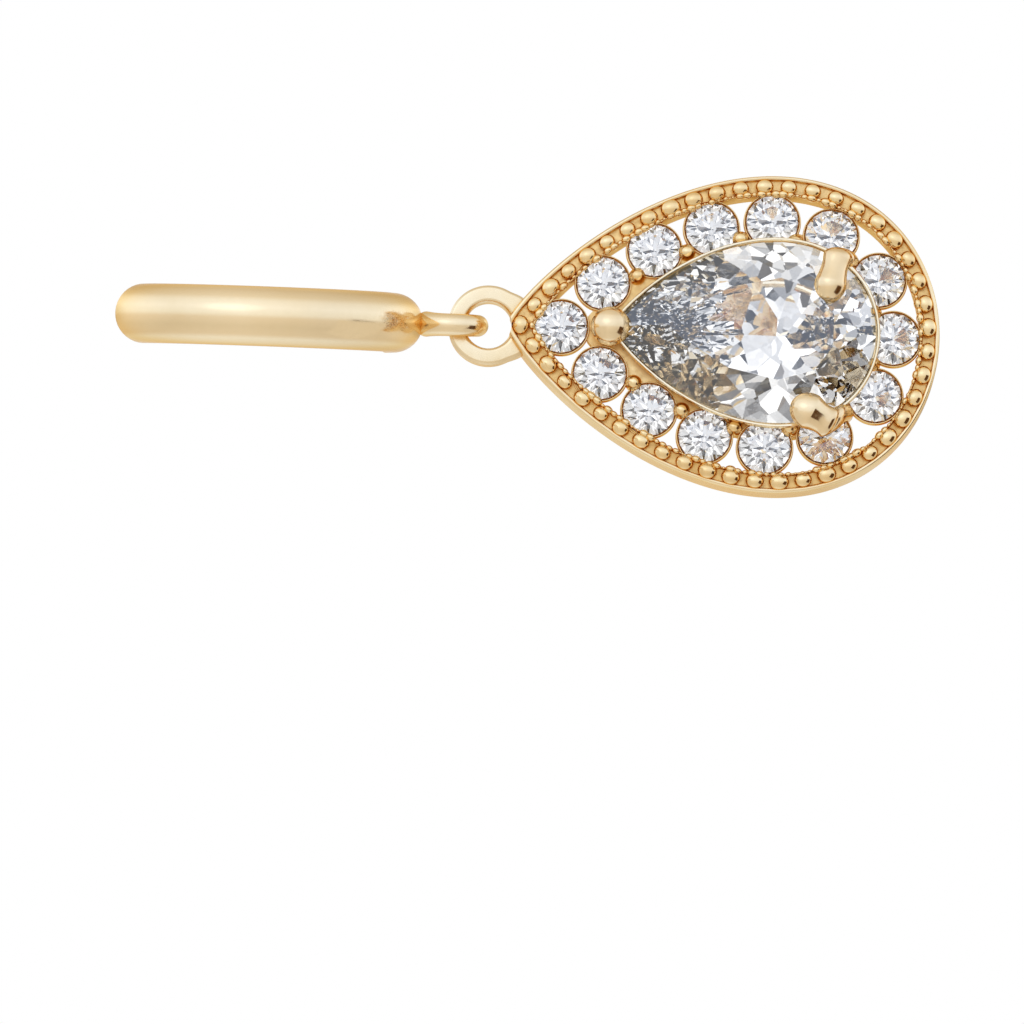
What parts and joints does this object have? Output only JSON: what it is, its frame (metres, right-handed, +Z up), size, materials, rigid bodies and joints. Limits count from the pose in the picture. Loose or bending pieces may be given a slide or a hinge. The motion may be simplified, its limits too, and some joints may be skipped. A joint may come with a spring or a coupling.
{
  "type": "teardrop earring",
  "caption": "Hinged hoop earring with a pear-shaped halo drop that swings from an eye under the hoop.",
  "frame": {"origin": "the middle line of the post at its highest point, where the piercing of the ear carries the earring", "axes": "+Z up along the hanging earring, +Y from front to back through the ear, the drop's face towards -Y"},
  "size_m": [0.0124, 0.0117, 0.0315],
  "materials": {
    "gold": "polished pale yellow gold",
    "crystal": "clear, cut and polished"
  },
  "bodies": {
    "hoop": {"hoop_front": "gold", "hoop_back": "gold"},
    "drop": {"drop_setting": "gold", "center_stone": "crystal", "halo_stone_01": "crystal", "halo_stone_02": "crystal", "halo_stone_03": "crystal", "halo_stone_04": "crystal", "halo_stone_05": "crystal", "halo_stone_06": "crystal", "halo_stone_07": "crystal", "halo_stone_08": "crystal", "halo_stone_09": "crystal", "halo_stone_10": "crystal", "halo_stone_11": "crystal", "halo_stone_12": "crystal", "halo_stone_13": "crystal", "halo_stone_14": "crystal"}
  },
  "joints": [
    {"name": "drop_swing", "type": "hinge", "parent": "hoop", "child": "drop", "pos_m": [0, 0, -0.01319], "axis": [0, 1, 0], "range_deg": [-60, 60]}
  ]
}
